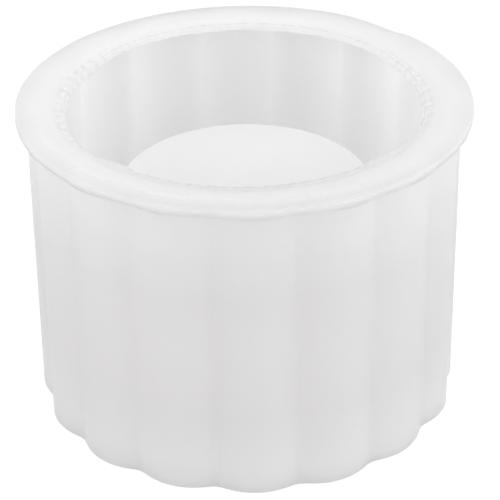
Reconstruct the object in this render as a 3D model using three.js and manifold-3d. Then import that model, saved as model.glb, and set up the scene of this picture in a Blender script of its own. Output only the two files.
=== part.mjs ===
// Vessel mould of flexible silicone in two pieces. The jacket is a fluted tub with a broad flat rim
// and a round seat in its floor. The centre core is a hollow plug that stands in the seat and lifts
// out through the mouth. Millimetres, +Z up, the foot of the jacket on z = 0, its axis on Z.
import * as THREE from "three";
import { mergeVertices } from "three/addons/utils/BufferGeometryUtils.js";
import Module from "manifold-3d";

const wasm = await Module();
wasm.setup();

// Driving dimensions of the jacket
const jacketHeight = 71.5;
const fluteCount = 16;
const fluteTipRadius = 47.7;
const fluteDepth = 2.7;
const firstGrooveAngle = THREE.MathUtils.degToRad(-76.41);
const wallThickness = 2;
const floorThickness = 3;

// Driving dimensions of the rim: a thin ledge outside the wall and a thinner lip inside it
const rimOverhang = 2.3;
const rimRootThickness = 2.3;
const rimEdgeThickness = 1.7;
const rimRoundRun = 1;
const rimRoundDrop = 0.5;
const lipOverhang = 3.1;
const lipTaperRun = 2.4;
const lipEdgeThickness = 0.6;

// Driving dimensions of the core and its seat
const coreRadius = 28.5;
const coreDrop = 20;
const coreWall = 2.5;
const coreShoulder = 3;
const hollowRound = 1.2;
const seatLedge = 2;
const seatClearance = 0.3;
const footClearance = 0.5;

// How finely the round stretches are divided
const roundSides = 96;
const fluteSides = 10;
const roundSteps = 5;
const overcut = 1;

// Sizes that follow from the driving dimensions
const halfPitch = Math.PI / fluteCount;
const grooveRadius = fluteTipRadius - fluteDepth;
const lobeCentre =
  (fluteTipRadius ** 2 - grooveRadius ** 2) / (2 * (fluteTipRadius - grooveRadius * Math.cos(halfPitch)));
const lobeRadius = fluteTipRadius - lobeCentre;
const cavityLobeRadius = lobeRadius - wallThickness;
const ridgeRadius = cuspRadius(cavityLobeRadius);
const mouthRadius = ridgeRadius - lipOverhang;
const rimRadius = fluteTipRadius + rimOverhang;
const rimRootHeight = jacketHeight - rimRootThickness;
const rimEdgeHeight = jacketHeight - rimEdgeThickness;
const lipEdgeHeight = jacketHeight - lipEdgeThickness;
const coreTop = jacketHeight - coreDrop;
const spigotRadius = coreRadius - seatLedge;
const seatRadius = spigotRadius + seatClearance;
const seatHeight = floorThickness + seatClearance;
const hollowRadius = spigotRadius - coreWall;
const hollowTop = coreTop - coreWall;

// Distance from the axis at which two neighbouring flute arcs of the given radius meet
function cuspRadius(radius) {
  const along = lobeCentre * Math.cos(halfPitch);
  const across = lobeCentre * Math.sin(halfPitch);
  return along + Math.sqrt(radius ** 2 - across ** 2);
}

// Closed outline of equal round lobes set round the axis, meeting in cusps
function fluteOutline(radius) {
  const cusp = cuspRadius(radius);
  const spread = Math.atan2(cusp * Math.sin(halfPitch), cusp * Math.cos(halfPitch) - lobeCentre);
  const outline = new THREE.Shape();
  for (let lobe = 0; lobe < fluteCount; lobe += 1) {
    const middle = firstGrooveAngle + (2 * lobe + 1) * halfPitch;
    const centreX = lobeCentre * Math.cos(middle);
    const centreY = lobeCentre * Math.sin(middle);
    outline.absarc(centreX, centreY, radius, middle - spread, middle + spread, false);
  }
  outline.closePath();
  return outline;
}

// Upright prism on an outline, from one height to another
function prism(outline, bottom, top) {
  const geometry = new THREE.ExtrudeGeometry(outline, {
    depth: top - bottom,
    bevelEnabled: false,
    curveSegments: fluteSides,
  });
  return geometry.translate(0, 0, bottom);
}

// Solid of revolution about Z from [radius, height] points that run from the axis, round and back to it
function turned(points) {
  const profile = points.map(([radius, height]) => new THREE.Vector2(radius, height));
  return new THREE.LatheGeometry(profile, roundSides).rotateX(Math.PI / 2);
}

// Points of a quarter round that ends at the given corner's two sides, run along one and drop down the other,
// listed from its outer end up to its top
function quarterRound(cornerRadius, cornerHeight, run, drop) {
  const points = [];
  for (let step = 0; step <= roundSteps; step += 1) {
    const angle = (step / roundSteps) * (Math.PI / 2);
    const radius = cornerRadius - run * (1 - Math.cos(angle));
    const height = cornerHeight - drop * (1 - Math.sin(angle));
    points.push([radius, height]);
  }
  return points;
}

// Closed geometry as a solid that can be joined and cut
function solid(geometry) {
  const bare = geometry.clone();
  bare.deleteAttribute("normal");
  bare.deleteAttribute("uv");
  const merged = mergeVertices(bare);
  const mesh = new wasm.Mesh({
    numProp: 3,
    vertProperties: new Float32Array(merged.attributes.position.array),
    triVerts: new Uint32Array(merged.index.array),
  });
  return new wasm.Manifold(mesh);
}

// Solid back to a geometry for a mesh
function geometryOf(body) {
  const mesh = body.getMesh();
  const geometry = new THREE.BufferGeometry();
  geometry.setAttribute("position", new THREE.BufferAttribute(new Float32Array(mesh.vertProperties), 3));
  geometry.setIndex(new THREE.BufferAttribute(new Uint32Array(mesh.triVerts), 1));
  geometry.computeVertexNormals();
  return geometry;
}

// Fluted tub with its rim, hollowed from above, with the mouth and the core's seat cut through
function jacketGeometry() {
  const tub = prism(fluteOutline(lobeRadius), 0, jacketHeight - rimRootThickness / 2);
  const rim = turned([
    [0, rimRootHeight],
    [fluteTipRadius, rimRootHeight],
    [rimRadius, rimEdgeHeight],
    ...quarterRound(rimRadius, jacketHeight, rimRoundRun, rimRoundDrop),
    [0, jacketHeight],
  ]);
  const cavity = prism(fluteOutline(cavityLobeRadius), floorThickness, rimRootHeight);
  const mouth = turned([
    [0, rimRootHeight - overcut],
    [mouthRadius + lipTaperRun, rimRootHeight - overcut],
    [mouthRadius + lipTaperRun, rimRootHeight],
    [mouthRadius, lipEdgeHeight],
    [mouthRadius, jacketHeight + overcut],
    [0, jacketHeight + overcut],
  ]);
  const seat = turned([
    [0, -overcut],
    [seatRadius, -overcut],
    [seatRadius, floorThickness + overcut],
    [0, floorThickness + overcut],
  ]);
  const hollowed = solid(tub).add(solid(rim)).subtract(solid(cavity));
  return geometryOf(hollowed.subtract(solid(mouth)).subtract(solid(seat)));
}

// Plug with a rounded shoulder, a ledge that sits on the floor, a spigot in the seat and a hollow inside
function coreGeometry() {
  return turned([
    [0, hollowTop],
    ...quarterRound(hollowRadius, hollowTop, hollowRound, hollowRound).reverse(),
    [hollowRadius, footClearance],
    [spigotRadius, footClearance],
    [spigotRadius, seatHeight],
    [coreRadius, seatHeight],
    ...quarterRound(coreRadius, coreTop, coreShoulder, coreShoulder),
    [0, coreTop],
  ]);
}

const milkySilicone = new THREE.MeshStandardMaterial({ color: 0xebebe8, roughness: 0.45, metalness: 0 });

const jacket = new THREE.Mesh(jacketGeometry(), milkySilicone);
jacket.name = "mould_jacket";

const core = new THREE.Mesh(coreGeometry(), milkySilicone.clone());
core.name = "centre_core";

const mould = new THREE.Group();
mould.name = "vessel_mould";
mould.add(jacket, core);

export default mould;
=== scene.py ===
"""Fluted vessel mould of milky silicone: its jacket, its lift-out core and a plain studio.

Each piece is a surface on a grid of angles round the Z axis and stations along a profile.
Metres, +Z up, the foot of the jacket on z = 0 and its axis on Z.
"""

import math

import bpy
import numpy as np
from bpy.props import FloatProperty, FloatVectorProperty, IntProperty, PointerProperty
from mathutils import Matrix, Vector


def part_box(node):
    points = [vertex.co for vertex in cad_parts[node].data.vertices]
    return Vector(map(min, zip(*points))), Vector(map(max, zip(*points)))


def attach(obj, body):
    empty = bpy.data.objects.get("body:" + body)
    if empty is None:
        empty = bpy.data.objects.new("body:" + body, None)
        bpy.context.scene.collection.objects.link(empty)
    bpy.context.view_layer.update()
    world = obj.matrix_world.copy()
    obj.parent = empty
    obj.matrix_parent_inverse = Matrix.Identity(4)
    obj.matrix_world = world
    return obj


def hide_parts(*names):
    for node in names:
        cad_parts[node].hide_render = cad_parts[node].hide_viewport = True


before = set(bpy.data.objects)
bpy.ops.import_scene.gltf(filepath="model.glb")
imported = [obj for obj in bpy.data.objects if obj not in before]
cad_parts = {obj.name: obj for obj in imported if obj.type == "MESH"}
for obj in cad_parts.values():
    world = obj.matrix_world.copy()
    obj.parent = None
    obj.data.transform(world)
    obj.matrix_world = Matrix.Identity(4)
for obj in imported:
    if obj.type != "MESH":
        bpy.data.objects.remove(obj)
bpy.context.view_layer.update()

bl_info = {
    "name": "Fluted Vessel Mould",
    "version": (1, 0, 0),
    "blender": (4, 5, 0),
    "location": "View3D > Sidebar > Vessel Mould",
    "description": "Builds the silicone jacket and core of a fluted vessel mould in a plain studio",
    "category": "Add Mesh",
}

MM = 0.001
FLUTE_STEPS = 60
CORE_STEPS = 240
LIGHT_BOUNCES = 32

JACKET_LOW, JACKET_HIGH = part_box("mould_jacket")
CORE_LOW, CORE_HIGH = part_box("centre_core")

# How far the thin lip first rises above the foot of the rim's roll
LIP_RISE = 0.1 * MM

# Uneven waves round the wall, the rim and the lip: lowest order, highest order and seed
SAG_WAVE = (2, 6, 3)
EDGE_WAVE = (3, 14, 17)
PLEAT_DRIFT_WAVE = (2, 9, 5)
PRESS_WAVE = (60, 150, 11)
COARSE_TRIM_WAVE = (6, 30, 23)
FINE_TRIM_WAVE = (60, 200, 31)
CURL_WAVE = (12, 60, 41)
TEAR_WAVE = (15, 130, 53)

# Sectors of the lip: angle from +X to the middle, half the width and the run of each soft end, in radians
PLEATED_LEFT = (math.radians(176), 0.52, 0.35)
PLEATED_RIGHT = (math.radians(8), 0.46, 0.35)
SLOPED_LEFT = (math.radians(183), 0.65, 0.4)
SLOPED_RIGHT = (math.radians(2), 0.62, 0.4)
LIFTED_LEFT = (math.radians(-133), 0.1, 0.12)
LIFTED_RIGHT = (math.radians(-43), 0.1, 0.12)

# Place and width of each soft lamp, in metres
LAMPS = {
    "top_lamp": ((-0.03, 0.22, 0.5), 0.5),
    "left_lamp": ((-0.7, 0.0, 0.36), 0.4),
    "right_lamp": ((0.7, 0.0, 0.36), 0.4),
    "left_high_lamp": ((-0.55, 0.0, 0.62), 0.4),
}


# Properties that a user would change


def length(name, description, millimetres):
    """A length property whose default is given in millimetres."""
    return FloatProperty(
        name=name,
        description=description,
        default=millimetres * MM,
        unit="LENGTH",
        subtype="DISTANCE",
        precision=5,
    )


def angle(name, description, degrees):
    """An angle property whose default is given in degrees."""
    return FloatProperty(name=name, description=description, default=math.radians(degrees), subtype="ANGLE")


def share(name, description, default):
    """A plain share from 0 to 1."""
    return FloatProperty(name=name, description=description, default=default, min=0, max=1, subtype="FACTOR")


def colour(name, description, default):
    """A linear colour."""
    return FloatVectorProperty(
        name=name, description=description, default=default, size=3, min=0, max=1, subtype="COLOR"
    )


def amount(name, description, default):
    """A plain number that isn't negative."""
    return FloatProperty(name=name, description=description, default=default, min=0)


class JacketShape(bpy.types.PropertyGroup):
    """Sizes of the fluted jacket."""

    flute_count: IntProperty(name="Flutes", description="Round lobes of the wall", default=16, min=3)
    first_groove: angle("First groove", "Angle from +X to a groove between two flutes", -76.41)
    rim_overhang: length("Rim overhang", "How far the rim reaches past the flutes", 2.3)
    flute_depth: length("Flute depth", "From the top of a flute to the groove beside it", 2.7)
    wall: length("Wall", "Thickness of the fluted wall", 2.0)
    floor: length("Floor", "Thickness of the floor", 3.0)
    groove_round: length("Groove round", "How softly two flutes meet outside", 1.5)
    ridge_round: length("Ridge round", "How softly two flutes meet inside", 1.2)
    foot_round: length("Foot round", "Rounding of the foot's edge", 0.4)
    root_depth: length("Rim root", "Depth of the rim where it leaves the wall", 2.3)
    cove: length("Cove", "Rounding between the wall and the rim's underside", 2.1)
    edge_depth: length("Rim edge", "Depth of the rim at its outer edge", 1.7)
    crown_run: length("Crown run", "Width of the rim's outer part that slopes down", 5.0)
    crown_drop: length("Crown drop", "How far the rim has sloped down at its edge at the back", 0.14)
    seat_radius: length("Seat radius", "Radius of the core's seat in the floor", 26.8)
    sag: length("Sag", "How far the soft rim and wall wander from true", 0.1)
    dent: length("Dent", "Drop of the rim where it was nipped", 0.6)
    dent_angle: angle("Dent angle", "Angle from +X to the nipped place", 46.0)


class LipShape(bpy.types.PropertyGroup):
    """Sizes of the thin trimmed lip round the mouth."""

    roll_radius: length("Roll", "Radius at which the rim starts to roll into the mouth", 42.6)
    root_radius: length("Root", "Radius at which the thin lip begins", 40.8)
    roll_drop: length("Roll drop", "How far the rim has rolled down there", 0.5)
    reach: length("Reach", "Width of the thin lip where it is whole", 2.5)
    film: length("Film", "Thickness of the thin lip", 0.32)
    pleat_pitch: angle("Pleat pitch", "Angle between two pleats left by the trimming blade", 4.4)
    pleat_depth: length("Pleat depth", "How far the lip is pressed in at a pleat", 0.3)
    slope: length("Slope", "How far the lip's edge slopes down at the left and right", 1.2)
    curl: length("Curl", "How far the lip's edge curls up and down", 0.16)
    hang: length("Hang", "How far the lip's edge hangs down at the back", 0.8)
    crease_width: length("Crease width", "Width of the crease where the lip was torn", 0.2)
    crease_depth: length("Crease depth", "Depth of that crease", 0.12)


class CoreShape(bpy.types.PropertyGroup):
    """Sizes of the lift-out core."""

    wall: length("Wall", "Thickness of the core's wall and top", 2.5)
    shoulder: length("Shoulder", "Rounding of the top's edge", 2.6)
    ledge: length("Ledge", "Width of the ledge that sits on the floor", 2.0)
    seat_height: length("Seat height", "Height of the ledge above the foot", 3.3)
    hollow_round: length("Hollow round", "Rounding of the hollow's ceiling", 1.2)
    edge_round: length("Edge round", "Rounding of the other edges", 0.3)


class SiliconeFinish(bpy.types.PropertyGroup):
    """Colour and surface of the milky silicone."""

    milk: colour("Milk", "Colour of the clear milky silicone", (0.994, 0.994, 0.9935))
    cloud: colour("Cloud", "Colour of its denser clouds", (0.991, 0.991, 0.9905))
    # Painted shade: the darker colour laid into the lip's pleats, along its torn crease and over its sides,
    # most on the left.
    crease: colour("Crease", "Colour of the lip's creases and its dull left side", (0.76, 0.76, 0.75))
    # Painted shade: a darker, faintly warm colour over the outside wall, less just under the rim and at the
    # foot, and over the front of the rim's top near its edge.
    rubbed: colour("Painted outside shade", "Colour of the outside, dulled by handling", (0.685, 0.668, 0.672))
    scatter: length("Scatter", "How far light wanders inside the jacket", 12.0)
    core_scatter: length("Core scatter", "How far light wanders inside the denser core", 2.0)
    gloss: share("Gloss", "Strength of the reflections on its surface", 0.1)
    sheen_low: share("Smooth", "Roughness of its smoothest places", 0.36)
    sheen_high: share("Dull", "Roughness of its dullest places", 0.5)


class StudioLight(bpy.types.PropertyGroup):
    """Light and floor of the studio."""

    left: amount("Left", "Brightness of the left side of the sky", 0.342)
    right: amount("Right", "Brightness of the right side of the sky", 1.137)
    back: amount("Back", "Brightness of the sky behind the mould", 0.055)
    front: amount("Front", "Brightness of the sky in front of the mould", 1.23)
    top_lamp: amount("Top lamp", "Power of the lamp above and behind, in watts", 0.781)
    left_lamp: amount("Left lamp", "Power of the lamp on the left, in watts", 1.331)
    right_lamp: amount("Right lamp", "Power of the lamp on the right, in watts", 0.34)
    left_high_lamp: amount("Left high lamp", "Power of the lamp high on the left, in watts", 0.089)
    table: amount("Table", "Brightness of the floor's own light on the mould", 0.319)
    far_table: amount("Far table", "What that light gains away from the mould", 0.098)
    ring: amount("Ring", "What that light gains round the foot", 0.142)
    floor_tone: share("Floor tone", "How much light the floor gives back to the mould", 0.25)
    floor_glow: share("Floor glow", "Part of the floor's white that no shadow takes away", 0.8)


# Surfaces on a grid of stations and angles


class Profile:
    """Stations of a profile, added stretch by stretch from its last point.

    A point is a radius and a height, and each of them is one number or one number for each angle.
    """

    def __init__(self, radius, height):
        self.end = (radius, height)
        self.stretches = []

    def straight(self, radius, height, steps):
        """Adds stations on a straight line from the last point, up to the new one but without it."""
        goal = (radius, height)
        part = (np.arange(steps) / steps)[:, None]
        self.stretches.append([a * (1 - part) + b * part for a, b in zip(self.end, goal)])
        self.end = goal

    def rounded(self, corner, goal, steps):
        """Adds stations on a quarter ellipse from the last point, up to the new one but without it.

        It leaves the one and reaches the other along the corner's two sides.
        """
        turn = (np.arange(steps) / steps * np.pi / 2)[:, None]
        stretch = [
            c + (a - c) * (1 - np.sin(turn)) + (b - c) * (1 - np.cos(turn))
            for a, c, b in zip(self.end, corner, goal)
        ]
        self.stretches.append(stretch)
        self.end = goal

    def stop(self):
        """Adds the last point itself, which an open profile needs."""
        self.straight(*self.end, steps=1)

    def stations(self, around):
        """Radius and height of every station at each of the angles, as two grids."""
        grids = []
        for values in zip(*self.stretches):
            grids.append(np.concatenate([np.broadcast_to(value, (len(value), around)) for value in values]))
        return grids


def flute_angles(count, first_groove):
    """Angles round the axis: equal steps in each flute, drawn together at its grooves by a sine."""
    crowding = 0.55
    turn = np.arange(count * FLUTE_STEPS) / FLUTE_STEPS
    turn -= crowding * np.sin(2 * np.pi * turn) / (2 * np.pi)
    return first_groove + turn * 2 * np.pi / count


def fluted_radius(angles, count, first_groove, centre, radius, soften):
    """Radius of a ring of round lobes: the far crossing of a ray with a circle set off the axis.

    The angle to the nearest groove is softened as the root of its square plus a small square.
    """
    half = np.pi / count
    from_groove = np.abs(np.mod(angles - first_groove + half, 2 * half) - half)
    off_middle = half - np.hypot(from_groove, soften)
    return centre * np.cos(off_middle) + np.sqrt(radius**2 - (centre * np.sin(off_middle)) ** 2)


def wander(angles, low, high, seed):
    """A closed uneven wave between -1 and 1: a sum of cosines of whole orders with seeded phases."""
    source = np.random.default_rng(seed)
    orders = np.arange(low, high + 1)[:, None]
    phases = source.uniform(0, 2 * np.pi, orders.shape)
    weights = source.normal(size=orders.shape)
    total = (weights * np.cos(orders * angles + phases)).sum(axis=0)
    return total / np.abs(total).max()


def turned_from(angles, middle):
    """Signed angle from a middle direction, between minus and plus half a turn."""
    return np.mod(angles - middle + np.pi, 2 * np.pi) - np.pi


def sector(angles, middle, half_width, soft):
    """1 inside a sector of the turn and 0 outside, with a smooth step of the given width."""
    inside = (half_width - np.abs(turned_from(angles, middle))) / soft + 0.5
    inside = np.clip(inside, 0, 1)
    return inside * inside * (3 - 2 * inside)


def at_back(angles):
    """1 at the back of the turn and 0 at the front: the square of half of one plus the sine."""
    return (0.5 + 0.5 * np.sin(angles)) ** 2


def at_front(angles):
    """1 at the front of the turn and 0 at the back: the square of half of one less the sine."""
    return (0.5 - 0.5 * np.sin(angles)) ** 2


def ring_quads(rings, around, closed):
    """Faces between neighbouring rings; a closed profile also joins its last ring to its first."""
    ring = np.arange(rings if closed else rings - 1)[:, None]
    step = np.arange(around)[None, :]
    above = (ring + 1) % rings
    beside = (step + 1) % around
    corners = (ring * around + step, ring * around + beside, above * around + beside, above * around + step)
    return np.stack(corners, axis=-1).reshape(-1, 4)


def pole_fan(first, around, pole, forward):
    """Triangles from one ring to a point on the axis."""
    step = np.arange(around)
    beside = (step + 1) % around
    pair = (first + step, first + beside) if forward else (first + beside, first + step)
    return np.stack([*pair, np.full(around, pole)], axis=-1)


def ring_points(radius, height, angles):
    """Points of a grid of rings round the Z axis."""
    points = np.stack([radius * np.cos(angles), radius * np.sin(angles), height], axis=-1)
    return points.reshape(-1, 3)


def new_piece(name, points, faces, material, marks):
    """A smooth mesh object at the origin, with each mark's share at every point as an attribute."""
    mesh = bpy.data.meshes.new(name)
    mesh.from_pydata(points.tolist(), [], faces)
    mesh.shade_smooth()
    for mark, values in marks.items():
        mesh.attributes.new(mark, "FLOAT", "POINT").data.foreach_set("value", values.ravel())
    mesh.materials.append(material)
    piece = bpy.data.objects.new(name, mesh)
    bpy.context.scene.collection.objects.link(piece)
    return piece


# The jacket


def flute_walls(shape, angles):
    """Radius of the wall's outside and inside at each angle: lobes on one ring of centres, a wall apart.

    The centres lie where a lobe through the flute's top also passes through the grooves beside it.
    """
    tip = JACKET_HIGH.x - shape.rim_overhang
    groove = tip - shape.flute_depth
    half = np.pi / shape.flute_count
    centre = (tip**2 - groove**2) / (2 * (tip - groove * math.cos(half)))
    lobe = tip - centre
    flutes = (angles, shape.flute_count, shape.first_groove, centre)
    sag = shape.sag * wander(angles, *SAG_WAVE)
    outer = fluted_radius(*flutes, lobe, shape.groove_round / groove) + sag
    inner = fluted_radius(*flutes, lobe - shape.wall, shape.ridge_round / groove) + sag
    return outer, inner


def rim_drop(shape, angles):
    """How far the rim's edge has dropped: a bell at the nipped place, steeper in front, and a wave."""
    spread_behind = math.radians(9)
    spread_in_front = math.radians(4)
    away = turned_from(angles, shape.dent_angle)
    spread = np.where(away > 0, spread_behind, spread_in_front)
    dent = shape.dent * np.exp(-((away / spread) ** 2))
    return dent + shape.sag * (0.5 + 0.5 * wander(angles, *EDGE_WAVE))


def trimmed_reach(angles):
    """How far the thin lip stands into the mouth, as a share of its width.

    A middle share, a sine that is most at the back, and a coarse and a fine wave for the uneven trimming.
    """
    middle = 0.78
    swing = 0.18
    coarse = 0.07
    fine = 0.05
    reach = middle + swing * np.sin(angles)
    return reach + coarse * wander(angles, *COARSE_TRIM_WAVE) + fine * wander(angles, *FINE_TRIM_WAVE)


def lip_edge(lip, angles):
    """Radius and height of the lip's edge.

    The edge curls unevenly, slopes down at the left and right, hangs at the back and is lifted in two places.
    """
    lifted_reach = 0.5 * MM
    lifted_rise = 0.2 * MM
    roll = JACKET_HIGH.z - lip.roll_drop
    lifted = sector(angles, *LIFTED_RIGHT) + sector(angles, *LIFTED_LEFT)
    sloped = sector(angles, *SLOPED_LEFT) + sector(angles, *SLOPED_RIGHT)
    mouth = lip.root_radius - lip.reach * trimmed_reach(angles) - lifted_reach * lifted
    curl = lip.curl * wander(angles, *CURL_WAVE) + lifted_rise * lifted
    height = roll + LIP_RISE + curl * (1 - sloped) - lip.hang * at_back(angles) - lip.slope * sloped
    return mouth, height


def lip_pleats(lip, angles):
    """How deep the lip is pressed in round the mouth, as a share of the full depth.

    Left: even pleats, a narrow peak of a cosine with a wandering phase. Elsewhere: peaks of an uneven wave.
    """
    drift = 1.6
    level = 0.2
    least = 0.1
    gain_right = 0.7
    count = round(2 * np.pi / lip.pleat_pitch)
    even = (0.5 + 0.5 * np.cos(count * angles + drift * wander(angles, *PLEAT_DRIFT_WAVE))) ** 2
    uneven = np.clip(level + wander(angles, *PRESS_WAVE), 0, 1)
    left = sector(angles, *PLEATED_LEFT)
    right = sector(angles, *PLEATED_RIGHT)
    return left * even + (1 - left) * uneven * (least + gain_right * right)


def crown_bend(crown):
    """Height at which the rim's edge starts to bend over into its crown."""
    bend_drop = 0.3 * MM
    return crown - bend_drop


def add_outside(profile, shape, lip, outer, under, crown):
    """From the foot up the fluted wall, round the rim with its parting line and over its crown."""
    rim = JACKET_HIGH.x
    top = JACKET_HIGH.z
    root = top - shape.root_depth
    foot = shape.foot_round
    cove = shape.cove
    edge_round = 0.1 * MM
    parting = 0.07 * MM
    parting_rise = 0.5 * MM
    bend_run = 0.35 * MM
    edge = rim - parting
    seam = under + parting_rise
    bend = crown_bend(crown)
    crown_start = rim - shape.crown_run
    crown_end = rim - bend_run
    crown_middle = (crown_start + crown_end) / 2
    profile.rounded((outer, 0), (outer, foot), steps=4)
    profile.straight(outer, root - cove, steps=7)
    profile.rounded((outer, root), (outer + cove, root), steps=6)
    profile.straight(edge - edge_round, under, steps=3)
    profile.rounded((edge, under), (edge, under + edge_round), steps=3)
    profile.straight(edge, seam - parting, steps=1)
    profile.straight(edge + parting, seam, steps=1)
    profile.straight(edge, seam + parting, steps=1)
    profile.straight(edge, bend, steps=1)
    profile.rounded((edge, crown), (crown_end, crown), steps=6)
    profile.rounded((crown_middle, top), (crown_start, top), steps=7)
    profile.straight(lip.roll_radius, top, steps=2)


def add_lip(profile, lip, mouth, film_top):
    """From the rim's roll along the thin lip, round its edge and back under it."""
    top = JACKET_HIGH.z
    roll = top - lip.roll_drop
    under_drop = 0.6 * MM
    under_run = 0.6 * MM
    film_middle = film_top - lip.film / 2
    film_low = film_top - lip.film
    film_round = mouth + lip.film / 2
    film_bend = 0.5 * (lip.root_radius + film_round)
    profile.rounded(((lip.roll_radius + lip.root_radius) / 2, top), (lip.root_radius, roll), steps=9)
    profile.rounded((film_bend, roll + LIP_RISE), (film_round, film_top), steps=12)
    profile.rounded((mouth, film_top), (mouth, film_middle), steps=2)
    profile.rounded((mouth, film_low), (film_round, film_low), steps=2)
    profile.straight(lip.root_radius + under_run, roll - under_drop, steps=6)


def add_inside(profile, shape, outer, inner):
    """From under the lip down the fluted inside, over the floor, down the seat and back to the foot."""
    root = JACKET_HIGH.z - shape.root_depth
    floor = shape.floor
    seat = shape.seat_radius
    flare_share = 0.6
    flare_drop = 2.0 * MM
    corner = 1.5 * MM
    bevel = 0.3 * MM
    under_lip = profile.end[0]
    flare = flare_share * (inner - under_lip)
    profile.straight(inner - flare, root, steps=3)
    profile.rounded((inner, root), (inner, root - flare_drop), steps=6)
    profile.straight(inner, floor + corner, steps=7)
    profile.rounded((inner, floor), (inner - corner, floor), steps=5)
    profile.straight(seat + bevel, floor, steps=3)
    profile.straight(seat, floor - bevel, steps=1)
    profile.straight(seat, bevel, steps=1)
    profile.straight(seat + bevel, 0, steps=1)
    profile.straight(outer - shape.foot_round, 0, steps=3)


def lip_marks(shape, lip, angles, mouth, radius, height):
    """Shares of the lip that are pressed in by pleats, torn along a crease, and shaded at the sides.

    Pleats: a flat-topped bell across the lip's root. Tears: a bell across a line near the edge, which moves
    back from it behind, broken up by an uneven wave. Shaded: a ramp from the root inwards, more on the left.
    All three darken the lip's colour as painted shade; the pleats and tears also press in its shape.
    """
    root = JACKET_HIGH.z - shape.root_depth
    clear_of_root = 0.05 * MM
    on_lip = (height > root + clear_of_root) & (radius < lip.roll_radius)

    pleat_inset = 0.75 * MM
    pleat_half = 1.3 * MM
    near_root = np.exp(-(((radius - lip.root_radius + pleat_inset) / pleat_half) ** 4))
    pressed = lip_pleats(lip, angles) * near_root * on_lip

    tear_inset = 0.35 * MM
    tear_inset_behind = 1.6 * MM
    tear_level = 0.55
    tear_swing = 0.9
    line = mouth + tear_inset + tear_inset_behind * at_back(angles)
    torn = np.clip(tear_level + tear_swing * wander(angles, *TEAR_WAVE), 0, 1) * on_lip
    torn = torn * np.exp(-(((radius - line) / lip.crease_width) ** 2))

    # Painted shade on the lip's sides, most on the left: colour only, the shape stays.
    shaded_left = 0.75
    shaded_right = 0.1
    shaded_run = 1.0 * MM
    shaded = shaded_left * sector(angles, *SLOPED_LEFT) + shaded_right * sector(angles, *SLOPED_RIGHT)
    shaded = shaded * on_lip * np.clip((lip.root_radius - radius) / shaded_run, 0, 1)
    return pressed, torn, shaded


def outside_shade_share(shape, angles, outer, crown, radius, height):
    """How much painted shade darkens each place of the outside.

    The wall: a ramp up from the foot times the root of the depth below the rim, each with a least share,
    so the painted shade is most on the middle of the wall and less just under the rim and at the foot.
    The rim's top: the root of the way to its edge, most at the front.
    """
    rim_run = 20 * MM
    foot_run = 18 * MM
    least_at_rim = 0.25
    least_at_foot = 0.72
    rim_shade_run = 5.0 * MM
    most_rim_shade = 0.78
    root = JACKET_HIGH.z - shape.root_depth
    below_rim = np.clip((root - height) / rim_run, 0, 1)
    above_foot = np.clip(height / foot_run, 0, 1)
    wall_shade = least_at_rim + (1 - least_at_rim) * np.sqrt(below_rim)
    wall_shade = wall_shade * (least_at_foot + (1 - least_at_foot) * above_foot)
    to_edge = np.sqrt(np.clip(1 + (radius - JACKET_HIGH.x) / rim_shade_run, 0, 1))
    rim_shade = most_rim_shade * at_front(angles) * to_edge * (height > crown_bend(crown))
    is_outside = radius > outer - shape.wall / 2
    return is_outside * np.where(below_rim > 0, wall_shade, rim_shade)


def jacket_surface(shape, lip):
    """The jacket's closed profile at every angle, from the foot up the wall, over the rim and back inside.

    The wall follows the lobed radius, the rim and the mouth are round, and the lip is pleated and torn.
    Returns the angles, the radius and height of each station, and the shares of painted shade on the lip and
    on the outside.
    """
    angles = flute_angles(shape.flute_count, shape.first_groove)
    outer, inner = flute_walls(shape, angles)
    drop = rim_drop(shape, angles)
    under = JACKET_HIGH.z - shape.edge_depth - drop
    crown = JACKET_HIGH.z - shape.crown_drop * at_back(angles) - drop
    mouth, film_top = lip_edge(lip, angles)
    profile = Profile(outer - shape.foot_round, 0)
    add_outside(profile, shape, lip, outer, under, crown)
    add_lip(profile, lip, mouth, film_top)
    add_inside(profile, shape, outer, inner)
    radius, height = profile.stations(len(angles))
    pressed, torn, shaded = lip_marks(shape, lip, angles, mouth, radius, height)
    height = height - lip.pleat_depth * pressed - lip.crease_depth * torn
    # Painted shade: the lip's pleats, torn crease and sides, and the outside, are given darker colours.
    marks = {
        "creased": np.clip(pressed + torn + shaded, 0, 1),
        "rubbed": outside_shade_share(shape, angles, outer, crown, radius, height),
    }
    return angles, radius, height, marks


# The core


def core_surface(shape):
    """The core's open profile at every angle, from the hollow's ceiling round the foot and up to the top.

    Returns the angles, and the radius and height of each station; both ends stop short of the axis.
    """
    top = CORE_HIGH.z
    foot = CORE_LOW.z
    side = CORE_HIGH.x
    spigot = side - shape.ledge
    hollow = spigot - shape.wall
    ceiling = top - shape.wall
    soft = shape.edge_round
    roof = shape.hollow_round
    shoulder = shape.shoulder
    seat = shape.seat_height
    end_radius = 1.0 * MM
    profile = Profile(end_radius, ceiling)
    profile.straight(hollow - roof, ceiling, steps=8)
    profile.rounded((hollow, ceiling), (hollow, ceiling - roof), steps=5)
    profile.straight(hollow, foot, steps=8)
    profile.straight(spigot - soft, foot, steps=3)
    profile.rounded((spigot, foot), (spigot, foot + soft), steps=3)
    profile.straight(spigot, seat, steps=3)
    profile.straight(side - soft, seat, steps=3)
    profile.rounded((side, seat), (side, seat + soft), steps=3)
    profile.straight(side, top - shoulder, steps=10)
    profile.rounded((side, top), (side - shoulder, top), steps=10)
    profile.straight(end_radius, top, steps=16)
    profile.stop()
    angles = np.arange(CORE_STEPS) * 2 * np.pi / CORE_STEPS
    return angles, *profile.stations(CORE_STEPS)


# Materials


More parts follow.
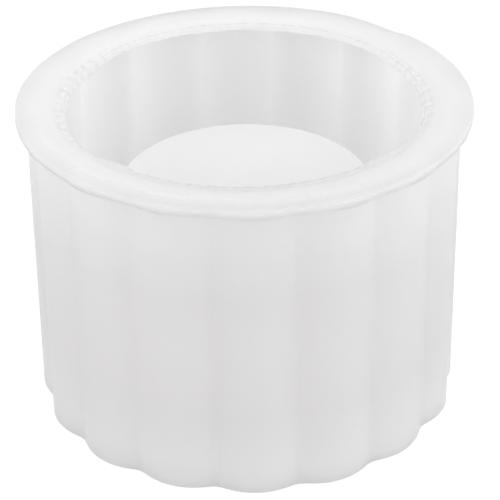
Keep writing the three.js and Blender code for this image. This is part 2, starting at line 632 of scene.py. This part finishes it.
def maths(nodes, links, operation, *values):
    """A maths node; each of its values is a number or the socket that gives it."""
    node = nodes.new("ShaderNodeMath")
    node.operation = operation
    for socket, value in zip(node.inputs, values):
        if isinstance(value, bpy.types.NodeSocket):
            links.new(value, socket)
        else:
            socket.default_value = value
    return node.outputs[0]


def seen_directly(nodes, links):
    """1 for a ray from the camera, a reflection or a clear pane, and 0 for light that spreads."""
    path = nodes.new("ShaderNodeLightPath").outputs
    glossy = maths(nodes, links, "MAXIMUM", path["Is Camera Ray"], path["Is Glossy Ray"])
    return maths(nodes, links, "MAXIMUM", glossy, path["Is Transmission Ray"])


def sky_side(nodes, links, towards, strength):
    """A soft bright side of the sky: its strength times a cube.

    The cube is that of half of one plus the cosine of the angle from the side's middle.
    """
    sky = nodes.new("ShaderNodeTexCoord").outputs["Generated"]
    cosine = nodes.new("ShaderNodeVectorMath")
    cosine.operation = "DOT_PRODUCT"
    cosine.inputs[1].default_value = towards
    links.new(sky, cosine.inputs[0])
    half = maths(nodes, links, "MULTIPLY_ADD", cosine.outputs["Value"], 0.5, 0.5)
    cube = maths(nodes, links, "POWER", half, 3.0)
    return maths(nodes, links, "MULTIPLY", cube, strength)


def silicone(name, finish, scatter):
    """Milky silicone: light scatters inside it, with faint clouds, uneven gloss and a fine moulded skin.

    Where the painted shade attributes say, on the outside and on the lip, it takes their darker colours.
    """
    material = bpy.data.materials.new(name)
    material.use_nodes = True
    nodes = material.node_tree.nodes
    links = material.node_tree.links
    shader = nodes["Principled BSDF"]
    shader.subsurface_method = "RANDOM_WALK"
    shader.inputs["Subsurface Weight"].default_value = 1.0
    shader.inputs["Subsurface Radius"].default_value = (1.0, 1.0, 0.97)
    shader.inputs["Subsurface Scale"].default_value = scatter
    shader.inputs["IOR"].default_value = 1.41
    shader.inputs["Specular IOR Level"].default_value = finish.gloss

    place = nodes.new("ShaderNodeTexCoord")

    clouds = nodes.new("ShaderNodeTexNoise")
    clouds.inputs["Scale"].default_value = 55.0
    clouds.inputs["Detail"].default_value = 4.0
    clouds.inputs["Roughness"].default_value = 0.55
    links.new(place.outputs["Object"], clouds.inputs["Vector"])
    tint = nodes.new("ShaderNodeMix")
    tint.data_type = "RGBA"
    tint.inputs["A"].default_value = (*finish.milk, 1)
    tint.inputs["B"].default_value = (*finish.cloud, 1)
    links.new(clouds.outputs["Fac"], tint.inputs["Factor"])
    tone = tint.outputs["Result"]
    # Painted shade: each attribute mixes in its darker colour.
    for mark, shade in (("rubbed", finish.rubbed), ("creased", finish.crease)):
        marked = nodes.new("ShaderNodeAttribute")
        marked.attribute_name = mark
        darker = nodes.new("ShaderNodeMix")
        darker.data_type = "RGBA"
        darker.inputs["B"].default_value = (*shade, 1)
        links.new(marked.outputs["Fac"], darker.inputs["Factor"])
        links.new(tone, darker.inputs["A"])
        tone = darker.outputs["Result"]
    links.new(tone, shader.inputs["Base Color"])

    smears = nodes.new("ShaderNodeTexNoise")
    smears.inputs["Scale"].default_value = 140.0
    smears.inputs["Detail"].default_value = 5.0
    smears.inputs["Distortion"].default_value = 0.8
    links.new(place.outputs["Object"], smears.inputs["Vector"])
    gloss = nodes.new("ShaderNodeMapRange")
    gloss.inputs["From Min"].default_value = 0.3
    gloss.inputs["From Max"].default_value = 0.7
    gloss.inputs["To Min"].default_value = finish.sheen_low
    gloss.inputs["To Max"].default_value = finish.sheen_high
    links.new(smears.outputs["Fac"], gloss.inputs["Value"])
    links.new(gloss.outputs["Result"], shader.inputs["Roughness"])

    skin = nodes.new("ShaderNodeTexNoise")
    skin.inputs["Scale"].default_value = 900.0
    skin.inputs["Detail"].default_value = 3.0
    links.new(place.outputs["Object"], skin.inputs["Vector"])
    bump = nodes.new("ShaderNodeBump")
    bump.inputs["Strength"].default_value = 0.12
    bump.inputs["Distance"].default_value = 0.05 * MM
    links.new(skin.outputs["Fac"], bump.inputs["Height"])
    links.new(bump.outputs["Normal"], shader.inputs["Normal"])
    return material


def table_light(nodes, links, light):
    """Strength of the floor's own light: a plain level, a bell round the foot and a gain further out."""
    ring_radius = JACKET_HIGH.x - 1 * MM
    ring_width = 5 * MM
    gain_start = 70 * MM
    gain_end = 170 * MM
    place = nodes.new("ShaderNodeTexCoord")
    from_axis = nodes.new("ShaderNodeVectorMath")
    from_axis.operation = "LENGTH"
    links.new(place.outputs["Object"], from_axis.inputs[0])
    away = maths(nodes, links, "SUBTRACT", from_axis.outputs["Value"], ring_radius)
    away = maths(nodes, links, "DIVIDE", away, ring_width)
    square = maths(nodes, links, "MULTIPLY", away, away)
    bell = maths(nodes, links, "EXPONENT", maths(nodes, links, "MULTIPLY", square, -1.0))
    strength = maths(nodes, links, "MULTIPLY_ADD", bell, light.ring, light.table)
    far = nodes.new("ShaderNodeMapRange")
    far.interpolation_type = "SMOOTHSTEP"
    far.inputs["From Min"].default_value = gain_start
    far.inputs["From Max"].default_value = gain_end
    links.new(from_axis.outputs["Value"], far.inputs["Value"])
    return maths(nodes, links, "MULTIPLY_ADD", far.outputs["Result"], light.far_table, strength)


def studio_white(name, light):
    """Pale floor: white to the camera, less a soft shadow, and a plain lit tone to the mould."""
    shadow_tone = 0.3
    material = bpy.data.materials.new(name)
    material.use_nodes = True
    nodes = material.node_tree.nodes
    links = material.node_tree.links
    nodes.clear()
    plain = nodes.new("ShaderNodeBsdfDiffuse")
    plain.inputs["Color"].default_value = (light.floor_tone,) * 3 + (1,)
    table = nodes.new("ShaderNodeEmission")
    links.new(table_light(nodes, links, light), table.inputs["Strength"])
    pale = nodes.new("ShaderNodeAddShader")
    links.new(plain.outputs[0], pale.inputs[0])
    links.new(table.outputs[0], pale.inputs[1])
    shadow = nodes.new("ShaderNodeBsdfDiffuse")
    shadow.inputs["Color"].default_value = (shadow_tone,) * 3 + (1,)
    glow = nodes.new("ShaderNodeEmission")
    glow.inputs["Strength"].default_value = light.floor_glow
    lit = nodes.new("ShaderNodeAddShader")
    links.new(shadow.outputs[0], lit.inputs[0])
    links.new(glow.outputs[0], lit.inputs[1])
    mixed = nodes.new("ShaderNodeMixShader")
    links.new(seen_directly(nodes, links), mixed.inputs["Fac"])
    links.new(pale.outputs[0], mixed.inputs[1])
    links.new(lit.outputs[0], mixed.inputs[2])
    output = nodes.new("ShaderNodeOutputMaterial")
    links.new(mixed.outputs[0], output.inputs["Surface"])
    return material


# Operators, one for each piece and one for the studio


class MOULD_OT_jacket(bpy.types.Operator):
    """Build the fluted jacket with its rim and torn lip"""

    bl_idname = "vessel_mould.jacket"
    bl_label = "Jacket"

    def execute(self, context):
        scene = context.scene
        finish = scene.mould_finish
        angles, radius, height, marks = jacket_surface(scene.mould_jacket_shape, scene.mould_lip_shape)
        points = ring_points(radius, height, angles)
        faces = ring_quads(*radius.shape, closed=True).tolist()
        material = silicone("jacket_silicone", finish, finish.scatter)
        piece = new_piece("fluted_jacket", points, faces, material, marks)
        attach(piece, "jacket")
        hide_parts("mould_jacket")
        return {"FINISHED"}


class MOULD_OT_core(bpy.types.Operator):
    """Build the hollow core that lifts out of the jacket"""

    bl_idname = "vessel_mould.core"
    bl_label = "Core"

    def execute(self, context):
        scene = context.scene
        finish = scene.mould_finish
        angles, radius, height = core_surface(scene.mould_core_shape)
        rings, around = radius.shape
        ceiling_pole = rings * around
        top_pole = ceiling_pole + 1
        poles = np.array([[0, 0, height[0, 0]], [0, 0, height[-1, 0]]])
        points = np.concatenate([ring_points(radius, height, angles), poles])
        faces = ring_quads(rings, around, closed=False).tolist()
        faces += pole_fan(0, around, ceiling_pole, forward=False).tolist()
        faces += pole_fan((rings - 1) * around, around, top_pole, forward=True).tolist()
        clean = np.zeros(len(points))
        material = silicone("core_silicone", finish, finish.core_scatter)
        piece = new_piece("lift_out_core", points, faces, material, {"creased": clean, "rubbed": clean})
        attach(piece, "core")
        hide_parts("centre_core")
        return {"FINISHED"}


class MOULD_OT_studio(bpy.types.Operator):
    """Set up the pale floor, the soft lamps and the camera"""

    bl_idname = "vessel_mould.studio"
    bl_label = "Studio"

    def execute(self, context):
        scene = context.scene
        light = scene.mould_light
        scene.view_settings.view_transform = "Standard"
        scene.cycles.max_bounces = LIGHT_BOUNCES
        scene.cycles.diffuse_bounces = LIGHT_BOUNCES
        self.add_floor(scene, light)
        self.add_world(scene, light)
        self.add_lamps(scene, light)
        self.add_camera(scene)
        return {"FINISHED"}

    def add_floor(self, scene, light):
        """A wide square just under the foot."""
        half = 3.0
        gap = 0.05 * MM
        low = JACKET_LOW.z - gap
        corners = [(-half, -half, low), (half, -half, low), (half, half, low), (-half, half, low)]
        mesh = bpy.data.meshes.new("studio_floor")
        mesh.from_pydata(corners, [], [(0, 1, 2, 3)])
        mesh.materials.append(studio_white("studio_white", light))
        floor = bpy.data.objects.new("studio_floor", mesh)
        scene.collection.objects.link(floor)

    def add_world(self, scene, light):
        """A sky that is white where it is seen and lights the mould from four soft sides."""
        world = bpy.data.worlds.new("studio_world")
        scene.world = world
        world.use_nodes = True
        nodes = world.node_tree.nodes
        links = world.node_tree.links
        nodes.clear()
        sides = {
            (-1, 0, 0): light.left,
            (1, 0, 0): light.right,
            (0, 1, 0): light.back,
            (0, -1, 0): light.front,
        }
        total = 0.0
        for towards, strength in sides.items():
            total = maths(nodes, links, "ADD", sky_side(nodes, links, towards, strength), total)
        fill = nodes.new("ShaderNodeBackground")
        links.new(total, fill.inputs["Strength"])
        white = nodes.new("ShaderNodeBackground")
        white.inputs["Strength"].default_value = 1.0
        for background in (fill, white):
            background.inputs["Color"].default_value = (1, 1, 1, 1)
        mixed = nodes.new("ShaderNodeMixShader")
        links.new(seen_directly(nodes, links), mixed.inputs["Fac"])
        links.new(fill.outputs[0], mixed.inputs[1])
        links.new(white.outputs[0], mixed.inputs[2])
        output = nodes.new("ShaderNodeOutputWorld")
        links.new(mixed.outputs[0], output.inputs["Surface"])

    def add_lamps(self, scene, light):
        """Square lamps that face the middle of the mould."""
        for name, (spot, width) in LAMPS.items():
            data = bpy.data.lights.new(name, "AREA")
            data.shape = "SQUARE"
            data.size = width
            data.energy = getattr(light, name)
            lamp = bpy.data.objects.new(name, data)
            lamp.location = spot
            ahead = Vector((0, 0, JACKET_HIGH.z / 2)) - Vector(spot)
            lamp.rotation_euler = ahead.to_track_quat("-Z", "Y").to_euler()
            scene.collection.objects.link(lamp)

    def add_camera(self, scene):
        """The photograph's camera, solved from the outline of the rim, the wall and the foot."""
        distance = 479.61 * MM
        elevation = math.radians(30.56)
        roll = math.radians(-0.698)
        aim = Vector((0.864 * MM, 0, 32.961 * MM))
        ahead = Vector((0, math.cos(elevation), -math.sin(elevation)))
        right = Vector((1, 0, 0))
        up = right.cross(ahead)
        turned_right = math.cos(roll) * right + math.sin(roll) * up
        turned_up = math.cos(roll) * up - math.sin(roll) * right
        data = bpy.data.cameras.new("photo_camera")
        data.sensor_width = 36.0
        data.lens = 151.74
        data.clip_start = 0.01
        data.clip_end = 20.0
        camera = bpy.data.objects.new("photo_camera", data)
        axes = Matrix((turned_right, turned_up, -ahead)).transposed()
        camera.matrix_world = Matrix.Translation(aim - distance * ahead) @ axes.to_4x4()
        scene.collection.objects.link(camera)
        scene.camera = camera


class MOULD_PT_panel(bpy.types.Panel):
    """Sizes, finish and light of the mould, with the buttons that build it"""

    bl_idname = "MOULD_PT_panel"
    bl_label = "Vessel Mould"
    bl_space_type = "VIEW_3D"
    bl_region_type = "UI"
    bl_category = "Vessel Mould"

    def draw(self, context):
        for operator in OPERATORS:
            self.layout.operator(operator.bl_idname)
        for name, group in GROUPS.items():
            box = self.layout.box()
            box.label(text=group.__doc__)
            for value in group.__annotations__:
                box.prop(getattr(context.scene, name), value)


GROUPS = {
    "mould_jacket_shape": JacketShape,
    "mould_lip_shape": LipShape,
    "mould_core_shape": CoreShape,
    "mould_finish": SiliconeFinish,
    "mould_light": StudioLight,
}
OPERATORS = (MOULD_OT_jacket, MOULD_OT_core, MOULD_OT_studio)


def register():
    """Adds the classes to Blender and the property groups to its scenes."""
    for group in (*GROUPS.values(), *OPERATORS, MOULD_PT_panel):
        bpy.utils.register_class(group)
    for name, group in GROUPS.items():
        setattr(bpy.types.Scene, name, PointerProperty(type=group))


def unregister():
    """Takes them away again."""
    for name in GROUPS:
        delattr(bpy.types.Scene, name)
    for group in (MOULD_PT_panel, *reversed(OPERATORS), *reversed(GROUPS.values())):
        bpy.utils.unregister_class(group)


def main():
    """Builds the mould and its studio."""
    register()
    bpy.ops.vessel_mould.jacket()
    bpy.ops.vessel_mould.core()
    bpy.ops.vessel_mould.studio()


if __name__ == "__main__":
    main()
